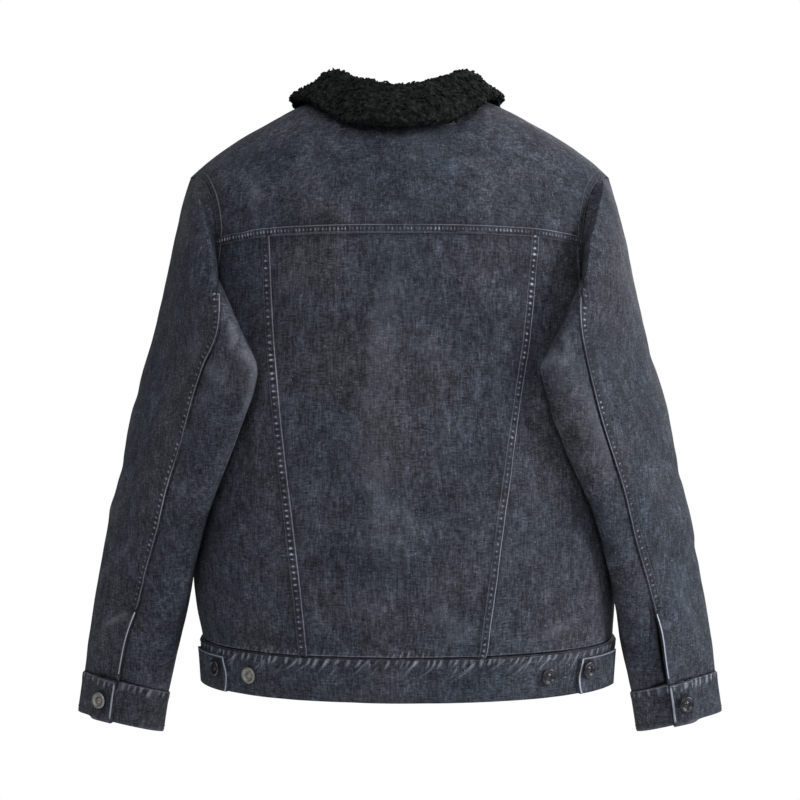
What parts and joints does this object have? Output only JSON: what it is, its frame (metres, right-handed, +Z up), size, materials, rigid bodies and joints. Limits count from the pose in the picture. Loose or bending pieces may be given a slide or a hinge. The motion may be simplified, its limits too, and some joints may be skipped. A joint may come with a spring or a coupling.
{
  "type": "jacket",
  "caption": "Hip-length denim jacket with a curly pile collar and lining, a yoked back, buttoned front, waistband with side tabs, and two-piece sleeves with cuffs.",
  "frame": {"origin": "between the shoulders at the base of the neck, where the wearer carries the jacket", "axes": "+Z up, the wearer's front faces -Y and the back +Y, the wearer's left is +X"},
  "size_m": [0.7087, 0.3076, 0.7172],
  "materials": {
    "denim": "washed black denim, matte, with worn edges",
    "curly_pile": "curly black pile",
    "gunmetal": "dark gunmetal shank buttons"
  },
  "bodies": {
    "root": {"back_side_left": "denim", "back_panel": "denim", "back_side_right": "denim", "back_yoke": "denim", "front_left": "denim", "front_right": "denim", "button_strip": "denim", "waistband": "denim", "hem_tab_left": "denim", "hem_tab_right": "denim", "sleeve_outer_left": "denim", "sleeve_outer_right": "denim", "sleeve_under_left": "denim", "sleeve_under_right": "denim", "cuff_left": "denim", "cuff_right": "denim", "collar": "curly_pile", "front_button_1": "gunmetal", "front_button_2": "gunmetal", "front_button_3": "gunmetal", "front_button_4": "gunmetal", "front_button_5": "gunmetal", "front_button_6": "gunmetal", "waist_button": "gunmetal", "tab_button_left": "gunmetal", "tab_button_right": "gunmetal", "hem_button_left": "gunmetal", "hem_button_right": "gunmetal", "cuff_button_left": "gunmetal", "cuff_button_right": "gunmetal"}
  },
  "joints": []
}
